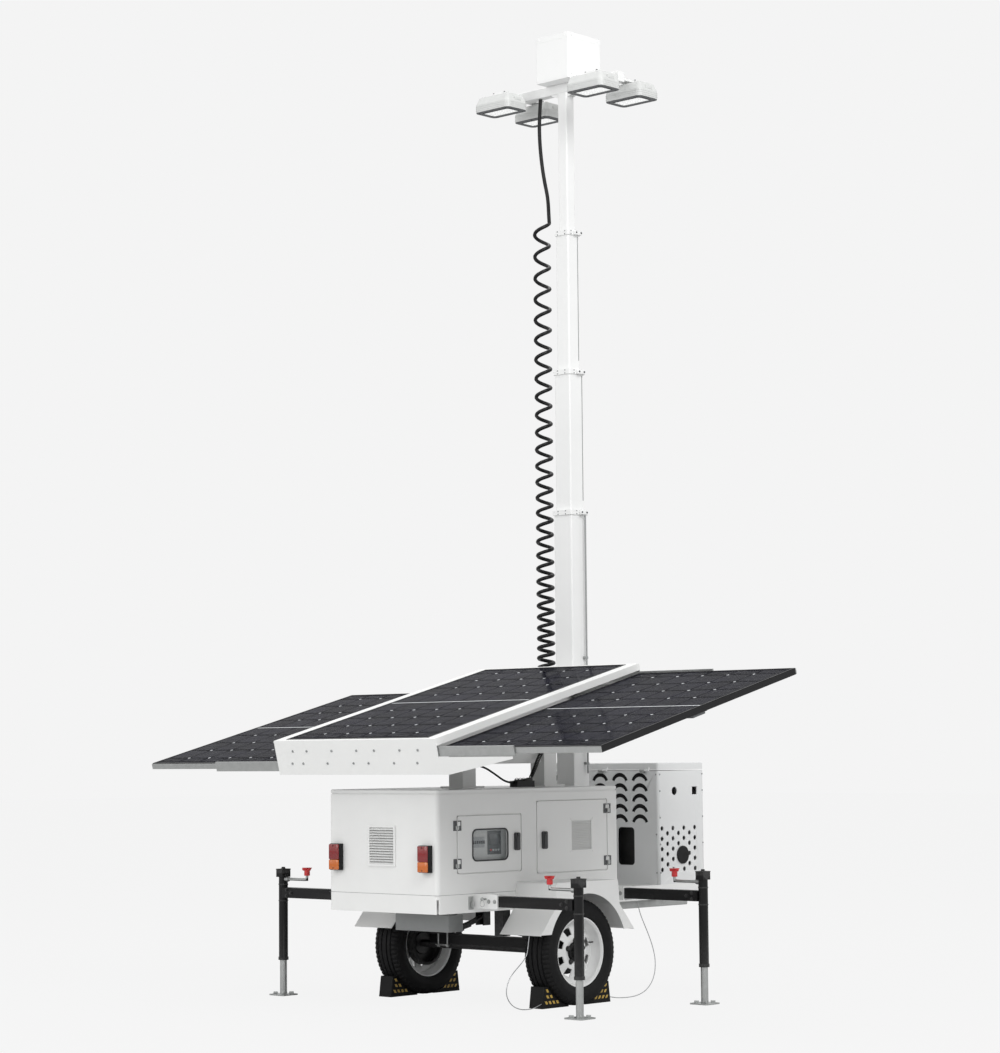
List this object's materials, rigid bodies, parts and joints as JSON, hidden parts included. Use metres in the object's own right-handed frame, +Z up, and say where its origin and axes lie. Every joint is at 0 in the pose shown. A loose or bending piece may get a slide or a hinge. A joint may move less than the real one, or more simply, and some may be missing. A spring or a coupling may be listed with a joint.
{
  "type": "mobile solar light tower trailer",
  "caption": "Towable light tower: cabinet with sliding solar drawers, telescopic mast with floodlights, generator and outriggers.",
  "frame": {"origin": "On the ground, midway between the array's rear edge and the tow eye's tip, on the centre line", "axes": "+X forwards to the tow eye, +Y to the left, +Z up the mast"},
  "size_m": [3.0082, 3.586, 5.842],
  "materials": {
    "white_body": "semi-gloss",
    "white_mast": "semi-gloss",
    "white_cowl": "semi-gloss",
    "zinc": "satin",
    "black_steel": "satin",
    "tyre": "matt",
    "rim_white": "semi-gloss",
    "lamp_red": "gloss",
    "battery": "matt",
    "panel_black": "satin",
    "window": "gloss",
    "lamp_body": "satin",
    "lamp_lens": "gloss",
    "engine": "matt",
    "exhaust": "matt",
    "module": "gloss",
    "chock_rubber": "matt",
    "cable_black": "satin",
    "wire": "satin"
  },
  "bodies": {
    "chassis": {"array_frame": "white_body", "array_posts": "white_body", "array_spine": "white_body", "axle": "black_steel", "base_frame": "white_body", "battery_block": "battery", "cabinet_roof": "white_body", "cabinet_shell": "white_body", "chock_ropes": "wire", "control_panel": "panel_black", "cord_gland": "cable_black", "drawbar": "zinc", "fenders": "white_body", "fixed_hinges": "zinc", "generator_block": "engine", "generator_exhaust": "exhaust", "generator_housing": "white_cowl", "leaf_springs": "black_steel", "mast_cord": "cable_black", "mast_stage_1": "white_mast", "module_centre": "module", "rear_louvre": "white_body", "roof_cable": "cable_black", "roof_curl": "cable_black", "slide_fixed": "zinc", "spring_hangers": "black_steel", "tail_lamps": "lamp_red", "tow_eye": "zinc", "wheel_chocks": "chock_rubber"},
    "wheel_left": {"tyre_left": "tyre", "rim_left": "rim_white"},
    "wheel_right": {"tyre_right": "tyre", "rim_right": "rim_white"},
    "door_rear": {"door_rear": "white_body", "door_glass": "window"},
    "door_front": {"door_front": "white_body", "door_front_vent": "white_body"},
    "mast_2": {"mast_stage_2": "white_mast"},
    "mast_3": {"mast_stage_3": "white_mast"},
    "mast_head": {"mast_stage_4": "white_mast", "lamp_crossbar": "white_mast", "lamp_housings": "lamp_body", "lamp_lenses": "lamp_lens", "top_box": "white_cowl", "mast_cord_lead": "cable_black"},
    "drawer_left": {"module_left": "module", "slide_inner_left": "zinc"},
    "drawer_right": {"module_right": "module", "slide_inner_right": "zinc"},
    "slide_left": {"slide_mid_left": "zinc"},
    "slide_right": {"slide_mid_right": "zinc"},
    "generator_lid": {"generator_lid": "white_cowl"},
    "outrigger_rear_left": {"arm_rear_left": "black_steel"},
    "jack_rear_left": {"leg_rear_left": "zinc"},
    "outrigger_rear_right": {"arm_rear_right": "black_steel"},
    "jack_rear_right": {"leg_rear_right": "zinc"},
    "outrigger_front_left": {"arm_front_left": "black_steel"},
    "jack_front_left": {"leg_front_left": "zinc"},
    "outrigger_front_right": {"arm_front_right": "black_steel"},
    "jack_front_right": {"leg_front_right": "zinc"}
  },
  "joints": [
    {"name": "wheel_left_roll", "type": "hinge", "parent": "chassis", "child": "wheel_left", "pos_m": [-0.37095, 0.6, 0.3], "axis": [0, 1, 0], "continuous": true},
    {"name": "wheel_right_roll", "type": "hinge", "parent": "chassis", "child": "wheel_right", "pos_m": [-0.37095, -0.6, 0.3], "axis": [0, 1, 0], "continuous": true},
    {"name": "door_rear_hinge", "type": "hinge", "parent": "chassis", "child": "door_rear", "pos_m": [-1.11317, -0.44, 0.9225], "axis": [0, 0, -1], "range_deg": [0, 110]},
    {"name": "door_front_hinge", "type": "hinge", "parent": "chassis", "child": "door_front", "pos_m": [0.16257, -0.44, 0.946], "axis": [0, 0, 1], "range_deg": [0, 110]},
    {"name": "outrigger_rear_left_slide", "type": "slide", "parent": "chassis", "child": "outrigger_rear_left", "axis": [0, -1, 0], "range_m": [0, 0.44]},
    {"name": "jack_rear_left_lift", "type": "slide", "parent": "outrigger_rear_left", "child": "jack_rear_left", "axis": [0, 0, 1], "range_m": [0, 0.19]},
    {"name": "outrigger_rear_right_slide", "type": "slide", "parent": "chassis", "child": "outrigger_rear_right", "axis": [0, 1, 0], "range_m": [0, 0.44]},
    {"name": "jack_rear_right_lift", "type": "slide", "parent": "outrigger_rear_right", "child": "jack_rear_right", "axis": [0, 0, 1], "range_m": [0, 0.19]},
    {"name": "outrigger_front_left_slide", "type": "slide", "parent": "chassis", "child": "outrigger_front_left", "axis": [0, -1, 0], "range_m": [0, 0.44]},
    {"name": "jack_front_left_lift", "type": "slide", "parent": "outrigger_front_left", "child": "jack_front_left", "axis": [0, 0, 1], "range_m": [0, 0.19]},
    {"name": "outrigger_front_right_slide", "type": "slide", "parent": "chassis", "child": "outrigger_front_right", "axis": [0, 1, 0], "range_m": [0, 0.44]},
    {"name": "jack_front_right_lift", "type": "slide", "parent": "outrigger_front_right", "child": "jack_front_right", "axis": [0, 0, 1], "range_m": [0, 0.19]},
    {"name": "mast_2_slide", "type": "slide", "parent": "chassis", "child": "mast_2", "axis": [0, 0, 1], "range_m": [-0.83, 0]},
    {"name": "mast_3_slide", "type": "slide", "parent": "mast_2", "child": "mast_3", "axis": [0, 0, 1], "range_m": [-0.83, 0]},
    {"name": "mast_head_slide", "type": "slide", "parent": "mast_3", "child": "mast_head", "axis": [0, 0, 1], "range_m": [-0.83, 0], "deforming": ["mast_cord"]},
    {"name": "drawer_left_slide", "type": "slide", "parent": "chassis", "child": "drawer_left", "axis": [0, -1, 0], "range_m": [0, 1.2]},
    {"name": "slide_left_slide", "type": "slide", "parent": "chassis", "child": "slide_left", "axis": [0, -1, 0], "range_m": [0, 0.6]},
    {"name": "drawer_right_slide", "type": "slide", "parent": "chassis", "child": "drawer_right", "axis": [0, 1, 0], "range_m": [0, 1.2]},
    {"name": "slide_right_slide", "type": "slide", "parent": "chassis", "child": "slide_right", "axis": [0, 1, 0], "range_m": [0, 0.6]},
    {"name": "generator_lid_hinge", "type": "hinge", "parent": "chassis", "child": "generator_lid", "pos_m": [0.63105, 0, 1.315], "axis": [0, -1, 0], "range_deg": [0, 80]}
  ],
  "couplings": [
    {"joint": "mast_3_slide", "follows": "mast_2_slide", "ratio": 1},
    {"joint": "mast_head_slide", "follows": "mast_2_slide", "ratio": 1},
    {"joint": "slide_left_slide", "follows": "drawer_left_slide", "ratio": 0.5},
    {"joint": "slide_right_slide", "follows": "drawer_right_slide", "ratio": 0.5}
  ]
}
